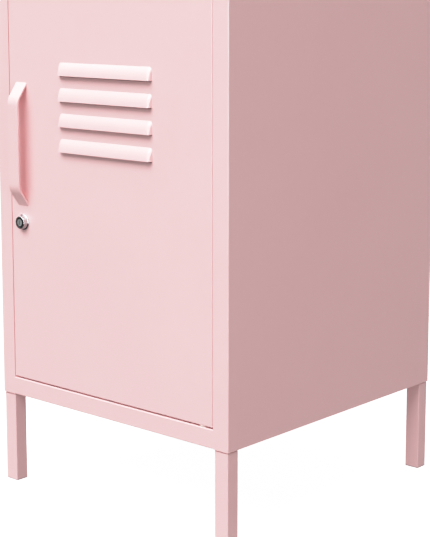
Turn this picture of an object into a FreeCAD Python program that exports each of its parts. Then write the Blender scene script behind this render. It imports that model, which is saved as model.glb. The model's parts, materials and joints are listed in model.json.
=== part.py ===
import FreeCAD, Part
import Sketcher
import math
import os
import re

# Single-door steel locker cabinet on four straight legs.
# Millimetres. +Z is up, the door faces -Y, +X is to the right of a person facing the door.
# The origin is on the floor, under the centre of the whole object's box.

V = FreeCAD.Vector
doc = FreeCAD.newDocument("locker_cabinet")

# ---------------------------------------------------------------- driving dimensions
CELLS = [
    ("body_width", 380.0, "outside width"),
    ("body_depth", 400.0, "outside depth, door face to back"),
    ("total_height", 645.0, "floor to top face"),
    ("leg_height", 115.0, "floor to underside of the body"),
    ("seam_height", 616.4, "floor to the joint between side panels and top panel"),
    ("gauge", 1.0, "sheet thickness"),
    ("bend_outer", 1.4, "outside radius of a bend"),
    ("bend_inner", 0.4, "inside radius of a bend"),
    ("stile_width", 22.5, "front frame beside the door"),
    ("rail_height", 22.5, "front frame under the door"),
    ("door_gap", 1.0, "gap at the hinge side and the top of the door"),
    ("sill_gap", 1.7, "gap under the door"),
    ("lock_gap", 0.6, "gap at the lock side of the door"),
    ("return_depth", 15.0, "depth of the stile's inner return"),
    ("stop_width", 10.0, "door stop strip on the lock side"),
    ("cap_flange", 16.0, "inward flange of the top panel"),
    ("hem_width", 9.0, "turned-in lower edge of the rails"),
    ("door_depth", 12.0, "thickness of the door pan"),
    ("door_lip", 10.0, "inward lip at the back of the door pan"),
    ("handle_reach", 15.2, "how far the handle stands off the door"),
    ("handle_x", -145.0, "centre line of the handle"),
    ("handle_low", 359.0, "lower end of the handle at the door face"),
    ("handle_high", 511.0, "upper end of the handle at the door face"),
    ("handle_slant", 21.5, "height of each slanted end"),
    ("strap_width", 18.6, "handle strap width"),
    ("strap_thick", 2.6, "handle strap thickness"),
    ("tab_length", 6.0, "handle tab behind the door skin"),
    ("lock_x", -145.0, "lock axis"),
    ("lock_z", 338.5, "lock axis"),
    ("lock_flange_dia", 19.6, "lock flange on the door"),
    ("lock_barrel_dia", 16.0, "lock barrel behind the door"),
    ("plug_dia", 10.4, "lock plug"),
    ("cam_depth", 16.0, "cam behind the door face"),
    ("louvre_length", 153.0, "louvre at the door skin, end to end"),
    ("louvre_height", 15.4, "louvre, lip to top"),
    ("louvre_reach", 6.2, "louvre lip to door skin"),
    ("louvre_pitch", 30.3, "louvre spacing"),
    ("louvre_first", 431.0, "lip of the lowest louvre"),
    ("louvre_count", 4, "number of louvres"),
    ("pivot_inset", 17.0, "hinge axis from the door's hinge edge"),
    ("pivot_back", 6.0, "hinge axis behind the door face"),
    ("pin_dia", 6.0, "hinge pin"),
    ("bush_bore", 6.1, "hinge bush bore"),
    ("bush_dia", 8.6, "hinge bush body"),
    ("bush_flange_dia", 10.0, "hinge bush flange"),
    ("leg_x", 19.8, "leg section along X"),
    ("leg_y", 17.5, "leg section along Y"),
    ("leg_inset", 1.3, "leg face behind the body face"),
    ("leg_wall", 1.2, "leg tube wall"),
    ("leg_corner", 0.8, "outside corner radius of the leg tube"),
    ("leg_plate", 2.5, "plate on top of a leg"),
    ("neck_step", 2.0, "leg steps in under the body"),
    ("neck_height", 1.4, "height of that step"),
    ("foot_flange", 1.6, "foot cap under the tube"),
    ("shelf_height", 375.0, "top of the shelf above the floor"),
    ("shelf_edge", 15.0, "turned-down edge of the shelf"),
]
sheet = doc.addObject("Spreadsheet::Sheet", "dims")
D = {}
for row, (alias, value, note) in enumerate(CELLS, start=1):
    sheet.set("A%d" % row, note)
    sheet.set("B%d" % row, str(value))
    sheet.setAlias("B%d" % row, alias)
    D[alias] = float(value)
doc.recompute()

WORD = re.compile(r"\b(" + "|".join(sorted((c[0] for c in CELLS), key=len, reverse=True)) + r")\b")

# The door face, the back and the door's edges, written with the sheet's words.
FACE = "(0 - (body_depth - handle_reach) / 2)"
BACK = "((body_depth + handle_reach) / 2)"
EDGE = "(body_width / 2)"
IN = "(body_width / 2 - stile_width)"
DOOR = "(body_width / 2 - stile_width - door_gap)"
DOOR_L = "(body_width / 2 - stile_width - lock_gap)"
DOOR_LOW = "(leg_height + rail_height + sill_gap)"
DOOR_HIGH = "(seam_height - door_gap)"
FLOOR = "(leg_height + rail_height)"
PIVOT_X = "(body_width / 2 - stile_width - door_gap - pivot_inset)"
PIVOT_Y = "(0 - (body_depth - handle_reach) / 2 + pivot_back)"

face = -(D["body_depth"] - D["handle_reach"]) / 2.0
back = face + D["body_depth"]
edge = D["body_width"] / 2.0


def bind(obj, prop, expression):
    obj.setExpression(prop, WORD.sub(lambda m: "dims." + m.group(1), str(expression)))


def place(obj, x, y, z):
    bind(obj, "Placement.Base.x", x)
    bind(obj, "Placement.Base.y", y)
    bind(obj, "Placement.Base.z", z)


def box(name, x, y, z, lx, ly, lz):
    obj = doc.addObject("Part::Box", name)
    bind(obj, "Length", lx)
    bind(obj, "Width", ly)
    bind(obj, "Height", lz)
    place(obj, x, y, z)
    return obj


TURN = {
    "z": FreeCAD.Rotation(),
    "y": FreeCAD.Rotation(V(1, 0, 0), -90),   # local +Z to +Y
    "x": FreeCAD.Rotation(V(0, 1, 0), 90),    # local +Z to +X
}


def cyl(name, along, x, y, z, dia, length):
    obj = doc.addObject("Part::Cylinder", name)
    bind(obj, "Radius", "(%s) / 2" % dia)
    bind(obj, "Height", length)
    obj.Placement = FreeCAD.Placement(V(), TURN[along])
    place(obj, x, y, z)
    return obj


def cone(name, along, x, y, z, dia1, dia2, length):
    obj = doc.addObject("Part::Cone", name)
    bind(obj, "Radius1", "(%s) / 2" % dia1)
    bind(obj, "Radius2", "(%s) / 2" % dia2)
    bind(obj, "Height", length)
    obj.Placement = FreeCAD.Placement(V(), TURN[along])
    place(obj, x, y, z)
    return obj


def hexagon(name, along, x, y, z, flats, length):
    obj = doc.addObject("Part::Prism", name)
    obj.Polygon = 6
    bind(obj, "Circumradius", "(%s) / 1.7320508" % flats)
    bind(obj, "Height", length)
    obj.Placement = FreeCAD.Placement(V(), TURN[along])
    place(obj, x, y, z)
    return obj


def cut(name, base, tool):
    obj = doc.addObject("Part::Cut", name)
    obj.Base = base
    obj.Tool = tool
    return obj


def fuse(name, shapes):
    obj = doc.addObject("Part::MultiFuse", name)
    obj.Shapes = shapes
    return obj


def group(name, shapes):
    obj = doc.addObject("Part::Compound", name)
    obj.Links = shapes
    return obj


def cutall(name, base, tools):
    if len(tools) == 1:
        return cut(name, base, tools[0])
    return cut(name, base, fuse(name + "_tools", tools))


def bend(name, base, outer, inner, sizes=None):
    """Round the edges picked by the two tests: outside bends, then inside bends."""
    doc.recompute()
    picked = []
    ro, ri = sizes or (D["bend_outer"], D["bend_inner"])
    for i, e in enumerate(base.Shape.Edges, start=1):
        b = e.BoundBox
        if outer(b):
            picked.append((i, ro, ro))
        elif inner and inner(b):
            picked.append((i, ri, ri))
    if not picked:
        raise RuntimeError("no edge picked for " + name)
    obj = doc.addObject("Part::Fillet", name)
    obj.Base = base
    obj.Edges = picked
    return obj


def near(a, b, tol=0.02):
    return abs(a - b) < tol


def along_x(b, y, z, shortest=5.0):
    return near(b.YMin, y) and near(b.YMax, y) and near(b.ZMin, z) and near(b.ZMax, z) and b.XLength > shortest


def along_y(b, x, z, shortest=5.0):
    return near(b.XMin, x) and near(b.XMax, x) and near(b.ZMin, z) and near(b.ZMax, z) and b.YLength > shortest


def along_z(b, x, y, shortest=5.0):
    return near(b.XMin, x) and near(b.XMax, x) and near(b.YMin, y) and near(b.YMax, y) and b.ZLength > shortest


NODES = {}


def node(label, obj):
    obj.Label = label
    NODES[label] = obj
    return obj


g = D["gauge"]
floor_top = D["leg_height"] + D["rail_height"]
seam = D["seam_height"]

# ---------------------------------------------------------------- side panels
# Each side is one folded sheet: the outer wall, the front stile with its inner return,
# the back flange and a flange at the top that carries the cap.
for side, s in (("left", -1), ("right", 1)):
    x0 = "(0 - %s)" % EDGE if s < 0 else IN
    outer = box(side + "_side_outer", x0, FACE, "leg_height", "stile_width", "body_depth",
                "seam_height - leg_height")
    hx = "(0 - %s + gauge)" % EDGE if s < 0 else "(%s - 5)" % IN
    hollow = box(side + "_side_hollow", hx, FACE + " + gauge", "leg_height - 5",
                 "stile_width - gauge + 5", "body_depth - 2 * gauge", "seam_height - leg_height - gauge + 5")
    # the hollow is open towards the middle of the cabinet
    shell = cut(side + "_side_shell", outer, hollow)
    rx = "(0 - %s - gauge)" % IN if s < 0 else IN
    ret = box(side + "_side_return", rx, FACE, FLOOR, "gauge", "return_depth", "seam_height - %s" % FLOOR)
    pieces = [shell, ret]
    if s < 0:
        pieces.append(box("left_side_stop", rx, FACE + " + return_depth - gauge", FLOOR,
                          "gauge + stop_width", "gauge", "seam_height - %s" % FLOOR))
    folded = fuse(side + "_side_folded", pieces)
    xo, xi = s * edge, s * (edge - g)
    xs, xr = s * (edge - D["stile_width"]), s * (edge - D["stile_width"] + g)
    yr = face + D["return_depth"]

    def out_test(b, xo=xo, xs=xs, s=s):
        if along_z(b, xo, face) or along_z(b, xo, back) or along_y(b, xo, seam):
            return True
        if b.ZMin > floor_top - 0.1 and along_z(b, xs, face, 100):
            return True
        return along_x(b, face, seam, 5) or along_x(b, back, seam, 5)

    def in_test(b, xi=xi, xr=xr):
        if along_z(b, xi, face + g) or along_z(b, xi, back - g) or along_y(b, xi, seam - g):
            return True
        return b.ZMin > floor_top - 0.1 and along_z(b, xr, face + g, 100)

    bent = bend(side + "_side_bent", folded, out_test, in_test)
    holes = [cyl("%s_side_hole_%d" % (side, i), "z", "%d * (%s - 10)" % (s, EDGE), y, "seam_height - 5",
                 "4.0", "10") for i, y in enumerate((FACE + " + 60", FACE + " + body_depth / 2", BACK + " - 60"))]
    node(side + "_side_panel", cutall(side + "_side_final", bent, holes))

# ---------------------------------------------------------------- bottom panel
# The floor of the compartment, with a rail folded down at the front and at the back.
plate = box("bottom_plate", "0 - %s + gauge" % EDGE, FACE + " + gauge + bend_inner", FLOOR + " - gauge",
            "body_width - 2 * gauge", "body_depth - 2 * gauge - 2 * bend_inner", "gauge")
tray = box("bottom_tray", "0 - %s" % IN, FACE, "leg_height", "2 * " + IN, "body_depth", "rail_height")
tray_hollow = box("bottom_tray_hollow", "0 - %s - 5" % IN, FACE + " + gauge", "leg_height + gauge",
                  "2 * %s + 10" % IN, "body_depth - 2 * gauge", "rail_height - 2 * gauge")
tray_open = box("bottom_tray_open", "0 - %s - 5" % IN, FACE + " + hem_width", "leg_height - 5",
                "2 * %s + 10" % IN, "body_depth - 2 * hem_width", "10")
tray_shell = cutall("bottom_tray_shell", tray, [tray_hollow, tray_open])
flanges = [box("bottom_flange_left", "0 - %s + gauge" % EDGE, FACE + " + 56", "leg_height + 1",
               "gauge", "body_depth - 112", "rail_height - 1"),
           box("bottom_flange_right", EDGE + " - 2 * gauge", FACE + " + 56", "leg_height + 1",
               "gauge", "body_depth - 112", "rail_height - 1")]
bottom_folded = fuse("bottom_folded", [plate, tray_shell] + flanges)


def bottom_out(b):
    return (along_x(b, face, floor_top, 100) or along_x(b, back, floor_top, 100)
            or along_x(b, face, D["leg_height"], 100) or along_x(b, back, D["leg_height"], 100))


def bottom_in(b):
    return (along_x(b, face + g, floor_top - g, 100) or along_x(b, back - g, floor_top - g, 100)
            or along_x(b, face + g, D["leg_height"] + g, 100) or along_x(b, back - g, D["leg_height"] + g, 100))


bottom_bent = bend("bottom_bent", bottom_folded, bottom_out, bottom_in)
BOLT_X = "(%s - 13.5)" % EDGE
BOLT_Y = ("27", "44")
bolt_places = []
for sx in (-1, 1):
    for near_front in (True, False):
        for by in BOLT_Y:
            y = FACE + " + " + by if near_front else BACK + " - " + by
            bolt_places.append(("%d * %s" % (sx, BOLT_X), y))
bottom_holes = [cyl("bottom_hole_%d" % i, "z", x, y, FLOOR + " - 5", "6.0", "10")
                for i, (x, y) in enumerate(bolt_places)]
bottom_holes.append(cyl("bottom_pin_hole", "z", PIVOT_X, PIVOT_Y, FLOOR + " - 5", "pin_dia", "10"))
node("bottom_panel", cutall("bottom_final", bottom_bent, bottom_holes))

# ---------------------------------------------------------------- back panel
# Stands on the floor panel in front of the side panels' back flanges.
back_sheet = box("back_sheet", "0 - %s + gauge + 1" % EDGE, BACK + " - 2 * gauge", FLOOR,
                 "body_width - 2 * gauge - 2", "gauge", "seam_height - gauge - %s" % FLOOR)
back_top = box("back_top", "0 - %s + 0.2" % IN, BACK + " - cap_flange", "seam_height - gauge",
               "2 * %s - 0.4" % IN, "cap_flange - gauge", "gauge")
# pressed stiffening rib frame: two shallow upright swages
back_ribs = [box("back_rib_%d" % i, "%d * 62 - 9" % k, BACK + " - 2 * gauge", FLOOR + " + 70", "18", "1.8",
                 "seam_height - %s - 140" % FLOOR) for i, k in enumerate((-1, 1))]
back_slots = [box("back_swage_%d" % i, "%d * 62 - 7.6" % k, BACK + " - 3 * gauge", FLOOR + " + 71.4", "15.2", "1.9",
                  "seam_height - %s - 142.8" % FLOOR) for i, k in enumerate((-1, 1))]
back_folded = fuse("back_folded", [back_sheet, back_top] + back_ribs)
back_cut = cutall("back_cut", back_folded, back_slots)
node("back_panel", back_cut)

# ---------------------------------------------------------------- top panel
# A shallow cap: flat top, four skirts flush with the sides, and an inward flange all round.
cap = box("cap_outer", "0 - " + EDGE, FACE, "seam_height", "body_width", "body_depth",
          "total_height - seam_height")
cap_hollow = box("cap_hollow", "0 - %s + gauge" % EDGE, FACE + " + gauge", "seam_height + gauge",
                 "body_width - 2 * gauge", "body_depth - 2 * gauge", "total_height - seam_height - 2 * gauge")


cap_round = bend("cap_round", cap, lambda b: True, None, (D["bend_outer"], 0))
cap_core = bend("cap_core", cap_hollow, lambda b: True, None, (D["bend_inner"], 0))
cap_open = box("cap_open", "0 - %s + cap_flange" % EDGE, FACE + " + cap_flange", "seam_height - 5",
               "body_width - 2 * cap_flange", "body_depth - 2 * cap_flange", "10")
cap_holes = []
for i, (s, y) in enumerate([(s, y) for s in (-1, 1) for y in (FACE + " + 60", FACE + " + body_depth / 2", BACK + " - 60")]):
    cap_holes.append(cyl("cap_hole_%d" % i, "z", "%d * (%s - 10)" % (s, EDGE), y, "seam_height - 5", "4.0", "10"))
cap_holes.append(cyl("cap_pin_hole", "z", PIVOT_X, PIVOT_Y, "seam_height - 5", "pin_dia", "10"))
node("top_panel", cutall("cap_final", cap_round, [cap_core, cap_open] + cap_holes))

screws = []
for i, (s, y) in enumerate([(s, y) for s in (-1, 1) for y in (FACE + " + 60", FACE + " + body_depth / 2", BACK + " - 60")]):
    x = "%d * (%s - 10)" % (s, EDGE)
    head = cyl("cap_screw_head_%d" % i, "z", x, y, "seam_height - gauge - 2.4", "8", "2.4")
    slot = box("cap_screw_slot_%d" % i, x + " - 3", y + " - 0.5", "seam_height - gauge - 3", "6", "1", "1.6")
    shank = cyl("cap_screw_shank_%d" % i, "z", x, y, "seam_height - gauge", "4.0", "8")
    screws.append(fuse("cap_screw_%d" % i, [cut("cap_screw_cut_%d" % i, head, slot), shank]))
node("top_panel_screws", group("cap_screws", screws))

# ---------------------------------------------------------------- shelf and its brackets
shelf_outer = box("shelf_outer", "0 - %s + 4" % EDGE, FACE + " + 27", "shelf_height - shelf_edge",
                  "body_width - 8", "body_depth - 34", "shelf_edge")
shelf_hollow = box("shelf_hollow", "0 - %s + 5" % EDGE, FACE + " + 28", "shelf_height - shelf_edge - 5",
                   "body_width - 10", "body_depth - 36", "shelf_edge + 4")
shelf_cut = cut("shelf_cut", shelf_outer, shelf_hollow)
sx0, sy0, sy1, sz1 = edge - 4, face + 27, back - 7, D["shelf_height"]


def shelf_out(b):
    if near(b.XLength, 0) and near(b.YLength, 0):
        return near(abs(b.XMin), sx0) and (near(b.YMin, sy0) or near(b.YMin, sy1))
    return near(b.ZMin, sz1) and near(b.ZMax, sz1)


def shelf_in(b):
    if near(b.XLength, 0) and near(b.YLength, 0):
        return near(abs(b.XMin), sx0 - 1) and (near(b.YMin, sy0 + 1) or near(b.YMin, sy1 - 1))
    return near(b.ZMin, sz1 - 1) and near(b.ZMax, sz1 - 1)


node("shelf", bend("shelf_bent", shelf_cut, shelf_out, shelf_in))

brackets = []
for i, (s, y) in enumerate([(s, y) for s in (-1, 1) for y in (FACE + " + 60", BACK + " - 84")]):
    wall_x = "%d * (%s - gauge) - %s" % (s, EDGE, "0" if s < 0 else "2")
    foot_x = "%d * (%s - gauge) - %s" % (s, EDGE, "0" if s < 0 else "14")
    wall = box("bracket_wall_%d" % i, wall_x, y, "shelf_height - shelf_edge - 22", "2", "24", "22")
    arm = box("bracket_arm_%d" % i, foot_x, y, "shelf_height - shelf_edge - 2", "14", "24", "2")
    brackets.append(fuse("bracket_%d" % i, [wall, arm]))
node("shelf_brackets", group("brackets", brackets))

# ---------------------------------------------------------------- legs, foot caps, bolts and nuts
for fb, front in (("front", True), ("back", False)):
    for side, s in (("left", -1), ("right", 1)):
        tag = "leg_%s_%s" % (fb, side)
        lx = "0 - %s + leg_inset" % EDGE if s < 0 else EDGE + " - leg_inset - leg_x"
        ly = FACE + " + leg_inset" if front else BACK + " - leg_inset - leg_y"
        tube = box(tag + "_tube", lx, ly, "foot_flange", "leg_x", "leg_y", FLOOR + " - gauge - leg_plate - foot_flange")
        rounded = bend(tag + "_round", tube, lambda b: b.ZLength > 50, None, (D["leg_corner"], 0))
        bore = box(tag + "_bore", lx + " + leg_wall", ly + " + leg_wall", "foot_flange - 5",
                   "leg_x - 2 * leg_wall", "leg_y - 2 * leg_wall", "leg_height - neck_height - 4 - foot_flange + 5")
        # under the body the tube steps in to a narrower neck, which leaves a fine shadow gap
        throat = box(tag + "_throat", lx + " + neck_step + leg_wall", ly + " + neck_step + leg_wall", "leg_height - 20",
                     "leg_x - 2 * leg_wall - 2 * neck_step", "leg_y - 2 * leg_wall - 2 * neck_step",
                     FLOOR + " - gauge - leg_plate - leg_height + 20")
        ring_out = box(tag + "_ring_out", lx + " - 1", ly + " - 1", "leg_height - neck_height", "leg_x + 2", "leg_y + 2",
                       "neck_height + 0.3")
        ring_in = box(tag + "_ring_in", lx + " + neck_step", ly + " + neck_step", "leg_height - neck_height - 1",
                      "leg_x - 2 * neck_step", "leg_y - 2 * neck_step", "neck_height + 3")
        ring = cut(tag + "_ring", ring_out, ring_in)
        hollow = cutall(tag + "_hollow", rounded, [bore, throat, ring])
        px = "0 - %s + 3.5" % EDGE if s < 0 else EDGE + " - 24"
        py = FACE + " + 3" if front else BACK + " - 52"
        pad = box(tag + "_pad", px, py, FLOOR + " - gauge - leg_plate", "20.5", "49", "leg_plate")
        welded = fuse(tag + "_welded", [hollow, pad])
        holes = [cyl("%s_hole_%d" % (tag, i), "z", "%d * %s" % (s, BOLT_X),
                     FACE + " + " + by if front else BACK + " - " + by, FLOOR + " - 10", "6.0", "15")
                 for i, by in enumerate(BOLT_Y)]
        node(tag, cutall(tag + "_final", welded, holes))

        ftag = "foot_cap_%s_%s" % (fb, side)
        sole = box(ftag + "_sole", lx, ly, "0", "leg_x", "leg_y", "foot_flange")
        sole_round = bend(ftag + "_round", sole, lambda b: b.ZLength > 1, None, (D["leg_corner"], 0))
        plug = box(ftag + "_plug", lx + " + leg_wall + 0.1", ly + " + leg_wall + 0.1", "foot_flange",
                   "leg_x - 2 * leg_wall - 0.2", "leg_y - 2 * leg_wall - 0.2", "12")
        node(ftag, fuse(ftag + "_final", [sole_round, plug]))

bolts, nuts = [], []
for i, (x, y) in enumerate(bolt_places):
    head = cyl("leg_bolt_head_%d" % i, "z", x, y, FLOOR, "12", "3")
    doc.recompute()
    dome = doc.addObject("Part::Fillet", "leg_bolt_dome_%d" % i)
    dome.Base = head
    top = [k for k, e in enumerate(head.Shape.Edges, start=1) if near(e.BoundBox.ZMin, floor_top + 3) and near(e.BoundBox.ZMax, floor_top + 3)]
    dome.Edges = [(k, 1.6, 1.6) for k in top]
    socket = hexagon("leg_bolt_socket_%d" % i, "z", x, y, FLOOR + " + 1.2", "4", "3")
    shank = cyl("leg_bolt_shank_%d" % i, "z", x, y, FLOOR + " - 12", "6.0", "12")
    bolts.append(fuse("leg_bolt_%d" % i, [cut("leg_bolt_cut_%d" % i, dome, socket), shank]))
    blank = hexagon("leg_nut_blank_%d" % i, "z", x, y, FLOOR + " - gauge - leg_plate - 5", "10", "5")
    bore = cyl("leg_nut_bore_%d" % i, "z", x, y, FLOOR + " - gauge - leg_plate - 6", "6.0", "7")
    nuts.append(cut("leg_nut_%d" % i, blank, bore))
node("leg_bolts", group("leg_bolt_group", bolts))
node("leg_nuts", group("leg_nut_group", nuts))

# ---------------------------------------------------------------- hinge pins and bushes
# The door turns on two upright pins, one in the bottom panel and one in the cap's front flange.
low_head = cyl("pin_low_head", "z", PIVOT_X, PIVOT_Y, FLOOR + " - gauge - 1.5", "8.4", "1.5")
low_pin = cyl("pin_low_shank", "z", PIVOT_X, PIVOT_Y, FLOOR + " - gauge", "pin_dia", "16")
node("hinge_pin_bottom", fuse("pin_low", [low_head, low_pin]))
high_head = cyl("pin_high_head", "z", PIVOT_X, PIVOT_Y, "seam_height + gauge", "8.4", "1.5")
high_pin = cyl("pin_high_shank", "z", PIVOT_X, PIVOT_Y, "seam_height + gauge - 16", "pin_dia", "16")
node("hinge_pin_top", fuse("pin_high", [high_head, high_pin]))

for name, flange_z, flange, body_z, clear_z in (
        ("bottom", FLOOR + " + 0.4", "sill_gap - 0.4", DOOR_LOW, DOOR_LOW + " - 5"),
        ("top", DOOR_HIGH, "door_gap - 0.4", DOOR_HIGH + " - 8", DOOR_HIGH + " - 15")):
    disc = cyl("bush_%s_flange" % name, "z", PIVOT_X, PIVOT_Y, flange_z, "bush_flange_dia", flange)
    sleeve = cyl("bush_%s_sleeve" % name, "z", PIVOT_X, PIVOT_Y, body_z, "bush_dia", "8")
    bore = cyl("bush_%s_bore" % name, "z", PIVOT_X, PIVOT_Y, clear_z, "bush_bore", "25")
    node("hinge_bush_" + name, cut("bush_" + name, fuse("bush_%s_blank" % name, [disc, sleeve]), bore))

# ---------------------------------------------------------------- door
# A folded pan: skin, four edges and a lip all round the back.
door_outer = box("door_outer", "0 - " + DOOR_L, FACE, DOOR_LOW, "%s + %s" % (DOOR, DOOR_L), "door_depth",
                 "%s - %s" % (DOOR_HIGH, DOOR_LOW))
door_hollow = box("door_hollow", "0 - %s + gauge" % DOOR_L, FACE + " + gauge", DOOR_LOW + " + gauge",
                  "%s + %s - 2 * gauge" % (DOOR, DOOR_L), "door_depth - 2 * gauge", "%s - %s - 2 * gauge" % (DOOR_HIGH, DOOR_LOW))
door_open = box("door_open", "0 - %s + door_lip" % DOOR_L, FACE + " + door_depth - gauge - 0.5", DOOR_LOW + " + door_lip",
                "%s + %s - 2 * door_lip" % (DOOR, DOOR_L), "5", "%s - %s - 2 * door_lip" % (DOOR_HIGH, DOOR_LOW))
dx = edge - D["stile_width"] - D["door_gap"]
dz0, dz1 = floor_top + D["sill_gap"], seam - D["door_gap"]
door_round = bend("door_round", door_outer, lambda b: True, None, (D["bend_outer"], 0))
door_core = bend("door_core", door_hollow, lambda b: True, None, (D["bend_inner"], 0))

# Louvres: a drawn hood open along its lower lip. The outer and inner hoods are the same form, one sheet
# thickness apart. Each is a straight run that is drawn down to the skin over a short length at both ends.
L, H, P = D["louvre_length"], D["louvre_height"], D["louvre_reach"]
END = 4.5
STEPS = (0.0, 0.30, 0.55, 0.75, 0.89, 0.97, 1.0)


def hood_section(x, z, reach, height, low, deep):
    """Closed outline across the hood at x: bulged front, then back through the skin."""
    a = V(x, face - reach, z)
    top = V(x, face, z + height)
    bulge = V(x, face - reach * 0.64, z + height * 0.56)
    pts = [top, V(x, face + deep, z + height), V(x, face + deep, z - low), V(x, face - reach, z - low)]
    if low > 0:
        pts.append(a)
    edges = [Part.Arc(a, bulge, top).toShape()]
    edges += [Part.makeLine(p, q) for p, q in zip(pts, pts[1:])]
    return Part.Wire(Part.__sortEdges__(edges))


def hood(z, grow, low, deep):
    """Solid hood with its lip at height z, pulled in by grow all over, carried down by low and back by deep."""
    reach, height = P - grow, H - grow * 1.6
    half, end = L / 2.0 - grow - END, END
    run = Part.Face(hood_section(-half, z, reach, height, low, deep)).extrude(V(2 * half, 0, 0))
    solids = [run]
    for s in (-1, 1):
        wires = []
        for u in STEPS:
            draw = max(math.sqrt(1.0 - u * u), 0.10)
            tall = height * (0.80 + 0.20 * draw)
            wires.append(hood_section(s * (half + end * u), z, reach * draw, tall, low, deep))
        solids.append(Part.makeLoft(wires, True, False))
    return solids[0].fuse(solids[1:])


outer_hoods, inner_hoods = [], []
for i in range(int(D["louvre_count"])):
    z = D["louvre_first"] + i * D["louvre_pitch"]
    outer_hoods.append(hood(z, 0.0, 0.0, 0.5))
    inner_hoods.append(hood(z, g * 0.9, 1.2, 1.6))
hoods = doc.addObject("Part::Feature", "louvre_hoods")
hoods.Shape = Part.makeCompound(outer_hoods)
voids = doc.addObject("Part::Feature", "louvre_voids")
voids.Shape = Part.makeCompound(inner_hoods)

lock_hole = cyl("door_lock_hole", "y", "lock_x", FACE + " - 2", "lock_z", "lock_barrel_dia + 0.2", "6")
bush_low = cyl("door_bush_low", "z", PIVOT_X, PIVOT_Y, DOOR_LOW + " - 2", "bush_dia", "5")
bush_high = cyl("door_bush_high", "z", PIVOT_X, PIVOT_Y, DOOR_HIGH + " - 3", "bush_dia", "5")
pan = cutall("door_pan", door_round, [door_core, door_open])
door_hooded = fuse("door_hooded", [pan, hoods])

# ---------------------------------------------------------------- handle
# One flat strap: a straight grip, two slanted ends, and a tab behind the door skin at each end.
handle_body = doc.addObject("PartDesign::Body", "handle_body")
sketch = handle_body.newObject("Sketcher::SketchObject", "handle_profile")
plane = [f for f in handle_body.Origin.OriginFeatures if f.Role == "YZ_Plane"][0]
sketch.AttachmentSupport = [(plane, "")]
sketch.MapMode = "FlatFace"
tk, R, HS = D["strap_thick"], D["handle_reach"], D["handle_slant"]
half_h = (D["handle_high"] - D["handle_low"]) / 2.0
tab = D["tab_length"]
# Profile in local Y (depth from the door face) and Z (height from the handle's middle); upper half first.
slant = math.atan2(R, HS)
ux, uz = -math.sin(slant), -math.cos(slant)          # along the slanted end, from door to grip
nx, nz = -math.cos(slant), math.sin(slant)           # outward normal of the slanted end


def line_hit(p, u, q, w):
    det = u[0] * (-w[1]) - (-w[0]) * u[1]
    dxp, dzp = q[0] - p[0], q[1] - p[1]
    t = (dxp * (-w[1]) - (-w[0]) * dzp) / det
    return (p[0] + t * u[0], p[1] + t * u[1])


outer_pt = (0.0, half_h)                              # outer face of the slant meets the door face here
inner_pt = (outer_pt[0] - nx * tk, outer_pt[1] - nz * tk)
grip_out = line_hit(outer_pt, (ux, uz), (-R, 0.0), (0.0, 1.0))
grip_in = line_hit(inner_pt, (ux, uz), (-R + tk, 0.0), (0.0, 1.0))
tab_front = line_hit(outer_pt, (ux, uz), (g, 0.0), (0.0, 1.0))
tab_back = line_hit(inner_pt, (ux, uz), (g + tk, 0.0), (0.0, 1.0))
upper = [grip_in, tab_back, (g + tk, tab_front[1] + tab), (g, tab_front[1] + tab), tab_front, grip_out]
lower = [(y, -z) for y, z in reversed(upper)]
outline = upper + lower
n = len(outline)
for i in range(n):
    a, b = outline[i], outline[(i + 1) % n]
    sketch.addGeometry(Part.LineSegment(V(a[0], a[1], 0), V(b[0], b[1], 0)), False)
for i in range(n):
    sketch.addConstraint(Sketcher.Constraint("Coincident", i, 2, (i + 1) % n, 1))
pad_h = handle_body.newObject("PartDesign::Pad", "handle_pad")
pad_h.Profile = sketch
pad_h.Midplane = True
bind(pad_h, "Length", "strap_width")
doc.recompute()


def across(shape, point):
    """Names of the edges that run across the strap through a profile point, in either half."""
    found = []
    for i, e in enumerate(shape.Edges, start=1):
        b = e.BoundBox
        if (b.XLength > D["strap_width"] - 0.1 and near(b.YMin, point[0]) and near(b.YMax, point[0])
                and near(abs(b.ZMin), point[1])):
            found.append("Edge%d" % i)
    return found


fil_out = handle_body.newObject("PartDesign::Fillet", "handle_bend_out")
fil_out.Base = (pad_h, across(pad_h.Shape, grip_out))
fil_out.Radius = 20.0
doc.recompute()
fil_in = handle_body.newObject("PartDesign::Fillet", "handle_bend_in")
fil_in.Base = (fil_out, across(fil_out.Shape, grip_in))
fil_in.Radius = 17.4
doc.recompute()
# the strap's long edges are eased
eased = [i for i, e in enumerate(fil_in.Shape.Edges, start=1)
         if e.BoundBox.XLength < 0.01 and e.Length > 4.0 and e.BoundBox.YMax < 0.5 + g]
fil_edge = handle_body.newObject("PartDesign::Fillet", "handle_edge")
fil_edge.Base = (fil_in, ["Edge%d" % i for i in eased])
fil_edge.Radius = 0.55
doc.recompute()
handle_body.Tip = fil_edge
place(handle_body, "handle_x", FACE, "(handle_low + handle_high) / 2")
node("handle", handle_body)

# The door skin is slotted to the strap's own section, and holed for the lock and the bushes.
node("door_panel", cutall("door_final", door_hooded, [voids, handle_body, lock_hole, bush_low, bush_high]))

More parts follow.
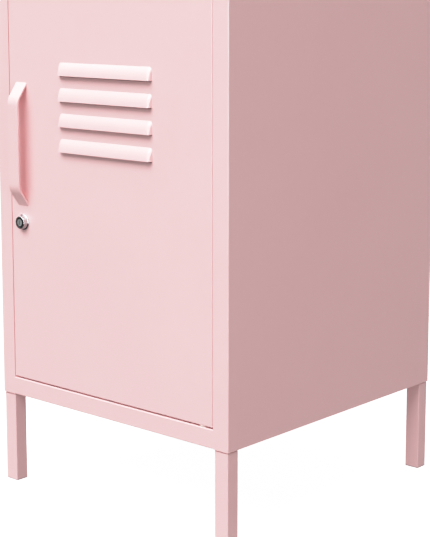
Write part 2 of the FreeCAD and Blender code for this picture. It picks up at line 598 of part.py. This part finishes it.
# ---------------------------------------------------------------- cam lock
# Fixed to the door: body with a dark ring groove round the plug, washer and nut.
lock_flange = cyl("lock_flange", "y", "lock_x", FACE + " - 1.6", "lock_z", "lock_flange_dia", "1.6")
lock_collar = cone("lock_collar", "y", "lock_x", FACE + " - 6.8", "lock_z", "15.4", "17.2", "5.2")
lock_barrel = cyl("lock_barrel", "y", "lock_x", FACE, "lock_z", "lock_barrel_dia", "cam_depth - 0.6")
lock_bore = cyl("lock_bore", "y", "lock_x", FACE + " - 10", "lock_z", "plug_dia + 0.1", "40")
lock_groove = cyl("lock_groove", "y", "lock_x", FACE + " - 8", "lock_z", "13.2", "2.4")
lock_blank = fuse("lock_blank", [lock_flange, lock_collar, lock_barrel])
lock_cut = cutall("lock_cut", lock_blank, [lock_bore, lock_groove])


def lock_rim(b):
    flat = near(b.YMin, b.YMax)
    return flat and near(b.YMin, face - 6.8) and b.XLength > 15.0


def flange_rim(b):
    return near(b.YMin, b.YMax) and near(b.YMin, face - 1.6) and near(b.XLength, D["lock_flange_dia"], 0.2)


node("lock_body", bend("lock_rounded", lock_cut, flange_rim, lock_rim, (0.9, 0.45)))
washer_out = cyl("washer_out", "y", "lock_x", FACE + " + gauge", "lock_z", "21", "0.8")
washer_in = cyl("washer_in", "y", "lock_x", FACE, "lock_z", "lock_barrel_dia + 0.4", "5")
node("lock_washer", cut("washer", washer_out, washer_in))
nut_out = hexagon("lock_nut_out", "y", "lock_x", FACE + " + gauge + 0.8", "lock_z", "19", "3.2")
nut_in = cyl("lock_nut_in", "y", "lock_x", FACE, "lock_z", "lock_barrel_dia", "9")
node("lock_nut", cut("lock_nut_cut", nut_out, nut_in))

# Turning in the lock: plug with a key slot and a square tail, cam, cam screw.
plug_core = cyl("plug_core", "y", "lock_x", FACE + " - 7.0", "lock_z", "plug_dia", "cam_depth + 6.6")
plug_tail = box("plug_tail", "lock_x - 3", FACE + " + cam_depth - 0.4", "lock_z - 3", "6", "2.4", "6")
plug_slot = box("plug_slot", "lock_x - 0.75", FACE + " - 8", "lock_z - 3.6", "1.5", "12", "7.2")
plug_bore = cyl("plug_bore", "y", "lock_x", FACE + " + cam_depth - 6", "lock_z", "3", "10")
plug_blank = fuse("plug_blank", [plug_core, plug_tail])
plug_cut = cutall("plug_cut", plug_blank, [plug_slot, plug_bore])
node("lock_plug", plug_cut)
cam_plate = box("cam_plate", "lock_x - 8", FACE + " + cam_depth", "lock_z - 16", "16", "2", "24")
cam_tip = cyl("cam_tip", "y", "lock_x", FACE + " + cam_depth", "lock_z - 16", "16", "2")
cam_hole = box("cam_hole", "lock_x - 3", FACE + " + cam_depth - 3", "lock_z - 3", "6", "8", "6")
cam_blank = fuse("cam_blank", [cam_plate, cam_tip])
cam_cut = cut("cam_cut", cam_blank, cam_hole)
node("lock_cam", bend("cam_round", cam_cut,
                      lambda b: near(b.XLength, 0) and near(b.ZLength, 0) and near(abs(b.XMin - D["lock_x"]), 8) and near(b.ZMin, D["lock_z"] + 8),
                      None, (5.0, 0)))
screw_head = cyl("cam_screw_head", "y", "lock_x", FACE + " + cam_depth + 2", "lock_z", "8", "2.2")
screw_shank = cyl("cam_screw_shank", "y", "lock_x", FACE + " + cam_depth - 5", "lock_z", "3", "7")
screw_slot = box("cam_screw_slot", "lock_x - 3", FACE + " + cam_depth + 3.2", "lock_z - 0.5", "6", "2", "1")
node("lock_cam_screw", fuse("cam_screw_fused", [cut("cam_screw_cut", screw_head, screw_slot), screw_shank]))

# ---------------------------------------------------------------- rubber bumpers on the door stop
bumpers = []
for i, z in enumerate((FLOOR + " + 60", "seam_height - 60")):
    bumpers.append(cyl("bumper_%d" % i, "y", "0 - %s + 4.6" % IN, FACE + " + return_depth - gauge - 1.6", z, "8", "1.6"))
node("door_bumpers", group("bumpers", bumpers))

# ---------------------------------------------------------------- check and write
doc.recompute()
bad = [o.Name for o in doc.Objects if "Invalid" in o.State or "Error" in o.State]
if bad:
    raise RuntimeError("failed objects: " + ", ".join(bad))
for label, obj in NODES.items():
    shape = obj.Shape
    if shape.isNull() or not shape.isValid():
        raise RuntimeError("bad shape: " + label)
    if not shape.Solids:
        raise RuntimeError("no solid: " + label)
os.makedirs("parts", exist_ok=True)
for old in os.listdir("parts"):
    if old.endswith(".step"):
        os.remove(os.path.join("parts", old))
whole = None
for label, obj in NODES.items():
    obj.Shape.exportStep(os.path.join("parts", label + ".step"))
    b = obj.Shape.BoundBox
    whole = b if whole is None else whole.united(b)
    print("%-24s solids %2d  volume %10.1f  x %8.2f %8.2f  y %8.2f %8.2f  z %8.2f %8.2f" % (
        label, len(obj.Shape.Solids), obj.Shape.Volume, b.XMin, b.XMax, b.YMin, b.YMax, b.ZMin, b.ZMax))
print("whole: x %.3f %.3f  y %.3f %.3f  z %.3f %.3f" % (whole.XMin, whole.XMax, whole.YMin, whole.YMax, whole.ZMin, whole.ZMax))
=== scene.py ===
import json
import math

import bpy
from mathutils import Matrix, Vector


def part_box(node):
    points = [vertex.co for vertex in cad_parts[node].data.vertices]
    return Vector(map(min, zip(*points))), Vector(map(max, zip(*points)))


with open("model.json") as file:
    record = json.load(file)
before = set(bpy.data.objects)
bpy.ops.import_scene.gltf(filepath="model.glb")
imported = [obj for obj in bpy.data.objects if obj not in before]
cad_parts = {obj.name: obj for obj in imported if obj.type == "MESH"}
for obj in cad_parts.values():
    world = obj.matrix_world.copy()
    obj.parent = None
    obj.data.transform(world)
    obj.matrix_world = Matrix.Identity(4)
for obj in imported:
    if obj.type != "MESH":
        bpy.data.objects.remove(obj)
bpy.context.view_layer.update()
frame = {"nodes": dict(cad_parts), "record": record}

nodes = frame["nodes"]
scene = bpy.context.scene
scene.view_settings.view_transform = "Standard"
scene.view_settings.look = "None"
scene.view_settings.exposure = 0.0
scene.view_settings.gamma = 1.0
# a film shoulder: tones keep their value up to two thirds, then roll off to white
SHOULDER = [(0.0, 0.0), (0.2, 0.2), (0.45, 0.45), (0.65, 0.65), (0.8, 0.775), (0.95, 0.85), (1.12, 0.905),
            (1.27, 0.95), (1.45, 0.985), (1.7, 1.0)]
scene.view_settings.use_curve_mapping = True
curves = scene.view_settings.curve_mapping
curves.white_level = (1.7, 1.7, 1.7)
tone_curve = curves.curves[3]
while len(tone_curve.points) < len(SHOULDER):
    tone_curve.points.new(0.5, 0.5)
for point, (x, y) in zip(tone_curve.points, SHOULDER):
    point.location = (x / 1.7, y)
    point.handle_type = "AUTO_CLAMPED"
curves.update()


# ---------------------------------------------------------------- node helpers
def material(name):
    m = bpy.data.materials.new(name)
    m.use_nodes = True
    nt = m.node_tree
    nt.nodes.clear()
    out = nt.nodes.new("ShaderNodeOutputMaterial")
    bsdf = nt.nodes.new("ShaderNodeBsdfPrincipled")
    nt.links.new(bsdf.outputs["BSDF"], out.inputs["Surface"])
    coord = nt.nodes.new("ShaderNodeTexCoord")
    return m, nt, bsdf, coord.outputs["Object"]


def noise(nt, vector, scale, detail=2.0, rough=0.5, lacunarity=2.0):
    n = nt.nodes.new("ShaderNodeTexNoise")
    n.inputs["Scale"].default_value = scale
    n.inputs["Detail"].default_value = detail
    n.inputs["Roughness"].default_value = rough
    n.inputs["Lacunarity"].default_value = lacunarity
    nt.links.new(vector, n.inputs["Vector"])
    return n.outputs["Fac"]


def mapped(nt, vector, scale=(1, 1, 1), rotation=(0, 0, 0), location=(0, 0, 0)):
    n = nt.nodes.new("ShaderNodeMapping")
    n.inputs["Scale"].default_value = scale
    n.inputs["Rotation"].default_value = rotation
    n.inputs["Location"].default_value = location
    nt.links.new(vector, n.inputs["Vector"])
    return n.outputs["Vector"]


def ramp(nt, value, stops):
    n = nt.nodes.new("ShaderNodeValToRGB")
    el = n.color_ramp.elements
    while len(el) < len(stops):
        el.new(0.5)
    for e, (pos, col) in zip(el, stops):
        e.position = pos
        e.color = (*col, 1.0) if len(col) == 3 else col
    nt.links.new(value, n.inputs["Fac"])
    return n.outputs["Color"]


def remap(nt, value, a, b, c, d, smooth=False):
    n = nt.nodes.new("ShaderNodeMapRange")
    if smooth:
        n.interpolation_type = "SMOOTHSTEP"
    n.inputs["From Min"].default_value = a
    n.inputs["From Max"].default_value = b
    n.inputs["To Min"].default_value = c
    n.inputs["To Max"].default_value = d
    nt.links.new(value, n.inputs["Value"])
    return n.outputs["Result"]


def math_node(nt, op, a, b=None):
    n = nt.nodes.new("ShaderNodeMath")
    n.operation = op
    for i, v in enumerate((a, b)):
        if v is None:
            continue
        if isinstance(v, (int, float)):
            n.inputs[i].default_value = v
        else:
            nt.links.new(v, n.inputs[i])
    return n.outputs["Value"]


def mix(nt, fac, a, b, kind="MIX"):
    n = nt.nodes.new("ShaderNodeMix")
    n.data_type = "RGBA"
    n.blend_type = kind
    for key, v in ((0, fac), (6, a), (7, b)):
        if isinstance(v, (int, float)):
            n.inputs[key].default_value = v
        elif isinstance(v, tuple):
            n.inputs[key].default_value = (*v, 1.0) if len(v) == 3 else v
        else:
            nt.links.new(v, n.inputs[key])
    return n.outputs[2]


def bump(nt, bsdf, height, distance, strength=1.0, chain=None):
    n = nt.nodes.new("ShaderNodeBump")
    n.inputs["Distance"].default_value = distance
    n.inputs["Strength"].default_value = strength
    nt.links.new(height, n.inputs["Height"])
    if chain is not None:
        nt.links.new(chain, n.inputs["Normal"])
    nt.links.new(n.outputs["Normal"], bsdf.inputs["Normal"])
    return n.outputs["Normal"]


# ---------------------------------------------------------------- materials
def powder_coat(name, base, deep):
    """Baked powder coat: fine orange peel, faint flow-out, slight drift of tone and gloss."""
    m, nt, bsdf, co = material(name)
    drift = noise(nt, co, 7.0, 3.0, 0.55)
    cloud = noise(nt, mapped(nt, co, location=(3.1, 1.7, 0.4)), 55.0, 3.0, 0.6)
    speck = noise(nt, co, 900.0, 1.0, 0.5)
    tone = mix(nt, remap(nt, drift, 0.3, 0.7, 0.0, 1.0), base, deep)
    tone = mix(nt, remap(nt, cloud, 0.35, 0.75, 0.0, 0.35), tone, tuple(c * 1.015 for c in base))
    tone = mix(nt, remap(nt, speck, 0.55, 0.75, 0.0, 0.22), tone, deep)
    nt.links.new(tone, bsdf.inputs["Base Color"])
    nt.links.new(remap(nt, cloud, 0.3, 0.7, 0.36, 0.44), bsdf.inputs["Roughness"])
    bsdf.inputs["Specular IOR Level"].default_value = 0.88
    bsdf.inputs["Coat Weight"].default_value = 0.06
    bsdf.inputs["Coat Roughness"].default_value = 0.22
    peel = nt.nodes.new("ShaderNodeTexVoronoi")
    peel.feature = "SMOOTH_F1"
    peel.inputs["Scale"].default_value = 620.0
    peel.inputs["Smoothness"].default_value = 0.8
    nt.links.new(co, peel.inputs["Vector"])
    first = bump(nt, bsdf, peel.outputs["Distance"], 0.00006, 0.55)
    flow = noise(nt, mapped(nt, co, location=(0.2, 5.0, 1.0)), 160.0, 2.0, 0.5)
    bump(nt, bsdf, flow, 0.00012, 0.5, first)
    return m


def metal(name, base, deep, rough, scale=60.0, brushed=None, centre=None):
    m, nt, bsdf, co = material(name)
    bsdf.inputs["Metallic"].default_value = 1.0
    cloud = noise(nt, co, scale, 3.0, 0.6)
    tone = mix(nt, remap(nt, cloud, 0.3, 0.7, 0.0, 1.0), base, deep)
    nt.links.new(tone, bsdf.inputs["Base Color"])
    fine = noise(nt, co, scale * 9.0, 2.0, 0.6)
    nt.links.new(remap(nt, fine, 0.25, 0.75, rough * 0.8, rough * 1.3), bsdf.inputs["Roughness"])
    if brushed:
        # distance from an axis along Y through centre
        sep = nt.nodes.new("ShaderNodeSeparateXYZ")
        nt.links.new(mapped(nt, co, location=(-centre[0], 0.0, -centre[2])), sep.inputs["Vector"])
        r2 = math_node(nt, "ADD", math_node(nt, "MULTIPLY", sep.outputs["X"], sep.outputs["X"]),
                       math_node(nt, "MULTIPLY", sep.outputs["Z"], sep.outputs["Z"]))
        r = math_node(nt, "SQRT", r2)
    if brushed == "turned":
        # fine rings left by the lathe
        ring = math_node(nt, "SINE", math_node(nt, "MULTIPLY", r, 2 * math.pi / 0.00045))
        bump(nt, bsdf, ring, 0.00002, 0.5)
        # painted shade: the plug's rim is darkened towards the groove round it, standing in for the shade and dark
        # reflection there
        plug_rim_shade = math_node(nt, "MULTIPLY", remap(nt, r, 0.0040, 0.0047, 0.0, 1.0, True), remap(nt, fine, 0.2, 0.6, 0.85, 1.0))
        nt.links.new(mix(nt, plug_rim_shade, tone, (0.06, 0.057, 0.055)), bsdf.inputs["Base Color"])
    elif brushed == "painted_groove_shade":
        # painted shade and dark reflection: the chrome face inside the groove round the plug and the walls of the
        # bore are darkened, and rougher there
        shade_inside = remap(nt, r, 0.0063, 0.0069, 1.0, 0.0, True)
        painted_shade = math_node(nt, "MULTIPLY", shade_inside, remap(nt, fine, 0.2, 0.6, 0.82, 1.0))
        nt.links.new(mix(nt, painted_shade, tone, (0.045, 0.042, 0.040)), bsdf.inputs["Base Color"])
        nt.links.new(remap(nt, painted_shade, 0.0, 1.0, rough, 0.6), bsdf.inputs["Roughness"])
        bump(nt, bsdf, fine, 0.00002, 0.6)
    else:
        bump(nt, bsdf, fine, 0.00002, 0.6)
    return m


def plastic(name, base, deep, rough, grain=700.0):
    m, nt, bsdf, co = material(name)
    cloud = noise(nt, co, 90.0, 3.0, 0.6)
    tone = mix(nt, remap(nt, cloud, 0.3, 0.7, 0.0, 1.0), base, deep)
    nt.links.new(tone, bsdf.inputs["Base Color"])
    fine = noise(nt, co, grain, 2.0, 0.6)
    nt.links.new(remap(nt, fine, 0.25, 0.75, rough * 0.9, min(1.0, rough * 1.12)), bsdf.inputs["Roughness"])
    bump(nt, bsdf, fine, 0.00004, 0.6)
    return m


PINK = (0.856, 0.518, 0.525)
PINK_DEEP = (0.840, 0.502, 0.510)
coat = powder_coat("powder_coat_pink", PINK, PINK_DEEP)
zinc = metal("zinc_plate", (0.70, 0.71, 0.70), (0.58, 0.60, 0.62), 0.30, 120.0)
low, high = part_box("lock_plug")
lock_axis = ((low[0] + high[0]) / 2.0, 0.0, (low[2] + high[2]) / 2.0)
# the lock chrome gets painted shade and dark reflection round the plug and in the bore
chrome = metal("lock_chrome", (0.46, 0.47, 0.48), (0.38, 0.39, 0.40), 0.22, 200.0, "painted_groove_shade", lock_axis)
plug = metal("lock_plug_turned", (0.80, 0.82, 0.81), (0.70, 0.72, 0.71), 0.40, 300.0, "turned", lock_axis)
nylon = plastic("nylon_bush", (0.80, 0.79, 0.73), (0.74, 0.72, 0.66), 0.45)
foot = plastic("foot_cap_plastic", (0.60, 0.42, 0.43), (0.54, 0.38, 0.39), 0.55)
rubber = plastic("bumper_rubber", (0.075, 0.073, 0.072), (0.05, 0.05, 0.05), 0.75)

LOOK = {
    "powder_coat": coat, "zinc": zinc, "lock_chrome": chrome, "lock_plug_metal": plug,
    "nylon": nylon, "foot_plastic": foot, "bumper_rubber": rubber,
}
slot_of = {s["node"]: s["material_slot"] for s in frame["record"]["subparts"]}
for name, obj in nodes.items():
    obj.data.materials.clear()
    obj.data.materials.append(LOOK[slot_of[name]])

# ---------------------------------------------------------------- stage, light and camera
ROOM_LOW, ROOM_HIGH, CEILING = 0.51, 0.585, 7.5
floor_mesh = bpy.data.meshes.new("floor")
half = 30.0
floor_mesh.from_pydata([(-half, -half, 0), (half, -half, 0), (half, half, 0), (-half, half, 0)], [], [(0, 1, 2, 3)])
floor = bpy.data.objects.new("floor", floor_mesh)
scene.collection.objects.link(floor)
# pale, lit from below like a white studio table, so that shadows on it stay faint
fm, fnt, fb, fco = material("floor_pale")
fb.inputs["Base Color"].default_value = (0.80, 0.80, 0.80, 1)
fb.inputs["Roughness"].default_value = 0.9
fb.inputs["Specular IOR Level"].default_value = 0.1
fb.inputs["Emission Color"].default_value = (1, 1, 1, 1)
fb.inputs["Emission Strength"].default_value = 1.25
floor_mesh.materials.append(fm)
floor.visible_diffuse = False
floor.visible_glossy = False

world = bpy.data.worlds.new("studio")
scene.world = world
world.use_nodes = True
wnt = world.node_tree
wnt.nodes.clear()
wout = wnt.nodes.new("ShaderNodeOutputWorld")
way = wnt.nodes.new("ShaderNodeTexCoord").outputs["Generated"]
height = wnt.nodes.new("ShaderNodeSeparateXYZ")
wnt.links.new(way, height.inputs["Vector"])


def background(strength):
    node = wnt.nodes.new("ShaderNodeBackground")
    node.inputs["Color"].default_value = (1.0, 1.0, 1.0, 1.0)
    if isinstance(strength, float):
        node.inputs["Strength"].default_value = strength
    else:
        wnt.links.new(strength, node.inputs["Strength"])
    return node.outputs["Background"]


# soft room light: brighter from above than from the ground
room = background(remap(wnt, height.outputs["Z"], -0.35, 0.35, ROOM_LOW, ROOM_HIGH, True))
# what a glossy surface mirrors: a wide soft ceiling over grey walls and a dim ground
walls = remap(wnt, height.outputs["Z"], -0.45, 0.10, 0.08, 0.25, True)
ceiling = remap(wnt, height.outputs["Z"], 0.42, 0.70, 0.0, CEILING, True)
mirrored = background(math_node(wnt, "ADD", walls, ceiling))
paper = background(2.0)
path = wnt.nodes.new("ShaderNodeLightPath")
pick = wnt.nodes.new("ShaderNodeMixShader")
wnt.links.new(path.outputs["Is Glossy Ray"], pick.inputs[0])
wnt.links.new(room, pick.inputs[1])
wnt.links.new(mirrored, pick.inputs[2])
last = wnt.nodes.new("ShaderNodeMixShader")
wnt.links.new(path.outputs["Is Camera Ray"], last.inputs[0])
wnt.links.new(pick.outputs["Shader"], last.inputs[1])
wnt.links.new(paper, last.inputs[2])
wnt.links.new(last.outputs["Shader"], wout.inputs["Surface"])


def area(name, azimuth, elevation, distance, size, level, tint=(1.0, 1.0, 1.0), target=(0.0, 0.0, 0.35)):
    """Softbox seen from the object at azimuth (0 = in front of the door, minus = to its left) and elevation.

    level is the brightness that it alone gives a white matt surface turned to it.
    """
    light = bpy.data.lights.new(name, "AREA")
    light.shape = "RECTANGLE"
    light.size, light.size_y = size
    light.energy = level * math.pi ** 2 * distance ** 2
    light.color = tint
    obj = bpy.data.objects.new(name, light)
    scene.collection.objects.link(obj)
    az, el = math.radians(azimuth), math.radians(elevation)
    way = Vector((math.sin(az) * math.cos(el), -math.cos(az) * math.cos(el), math.sin(el)))
    obj.location = Vector(target) + way * distance
    obj.rotation_mode = "QUATERNION"
    obj.rotation_quaternion = (-way).to_track_quat("-Z", "Y")
    return obj


area("key", -6.0, 50.0, 24.0, (21.3, 13.9), 1.37, (0.975, 1.0, 1.01))
area("back", 188.0, 22.0, 6.0, (3.0, 2.0), 0.32)
area("left", -96.0, 18.0, 6.0, (2.4, 2.4), 0.16)
strip = area("strip", 37.0, 4.0, 5.0, (1.2, 3.0), 1.2)
strip.visible_diffuse = False
area("fill", 60.0, 8.0, 2.0, (0.5, 1.4), 0.10)

cam_data = bpy.data.cameras.new("camera")
cam = bpy.data.objects.new("camera", cam_data)
scene.collection.objects.link(cam)
scene.camera = cam
F_PX, SHIFT = 1432.0, -0.13
yaw, pitch = math.radians(48.46), math.radians(8.28)
forward = Vector((-math.cos(yaw) * math.cos(pitch), math.sin(yaw) * math.cos(pitch), -math.sin(pitch)))
cam.location = (1.191, -1.344, 0.622)
cam.rotation_mode = "QUATERNION"
cam.rotation_quaternion = forward.to_track_quat("-Z", "Y")
cam_data.sensor_width = 36.0
cam_data.lens = F_PX / 537.0 * 36.0
cam_data.shift_y = SHIFT
cam_data.clip_start, cam_data.clip_end = 0.05, 60.0

bpy.context.view_layer.update()
